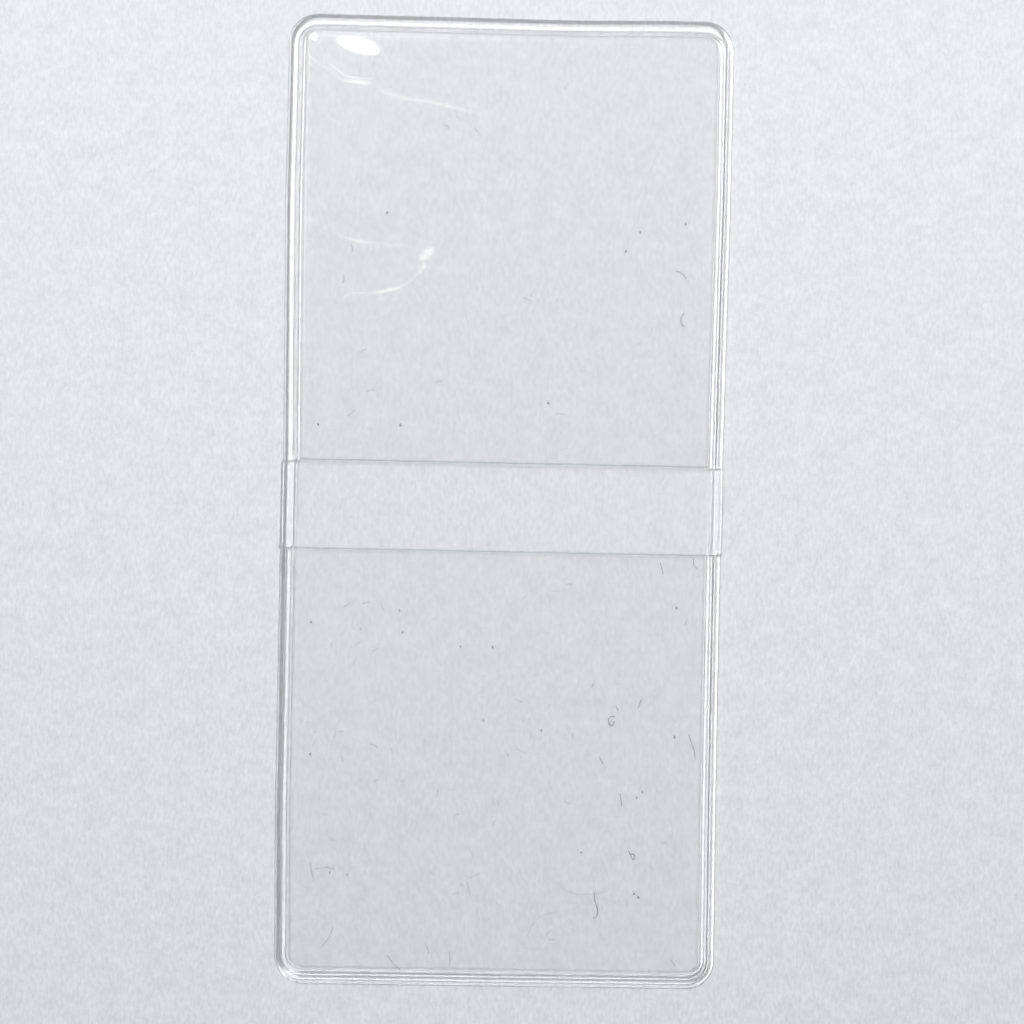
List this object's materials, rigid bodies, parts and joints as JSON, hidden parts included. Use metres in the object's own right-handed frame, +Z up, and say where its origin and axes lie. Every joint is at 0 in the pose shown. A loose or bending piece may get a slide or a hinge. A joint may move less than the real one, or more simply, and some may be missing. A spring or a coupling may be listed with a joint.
{
  "type": "coin flip",
  "caption": "Clear vinyl double-pocket coin flip: two slip-in pockets with beaded welded edges, joined by a single-film band that folds shut.",
  "frame": {"origin": "middle of the open flip, on the underside of the back film, where it lies on the table", "axes": "+X across the flip to the right, +Y along it from the lower pocket to the upper pocket, +Z up, out of the side that the pocket films are on"},
  "size_m": [0.0512, 0.1112, 0.0008],
  "materials": {
    "back_film": "clear flexible vinyl film, glossy, faintly scuffed",
    "pocket_film": "clear flexible vinyl film, glossy, faintly rippled",
    "weld": "clear fused vinyl bead, glossy"
  },
  "bodies": {
    "lower_leaf": {"lower_back_film": "back_film", "lower_pocket_film": "pocket_film", "lower_pocket_weld": "weld", "lower_band_weld": "weld"},
    "upper_leaf": {"upper_back_film": "back_film", "upper_pocket_film": "pocket_film", "upper_pocket_weld": "weld", "upper_band_weld": "weld"}
  },
  "joints": [
    {"name": "fold", "type": "hinge", "parent": "lower_leaf", "child": "upper_leaf", "pos_m": [0, -0.0004, 0.00098], "axis": [1, 0, 0], "range_deg": [0, 180], "stiffness_Nm_per_rad": 0.0001}
  ]
}
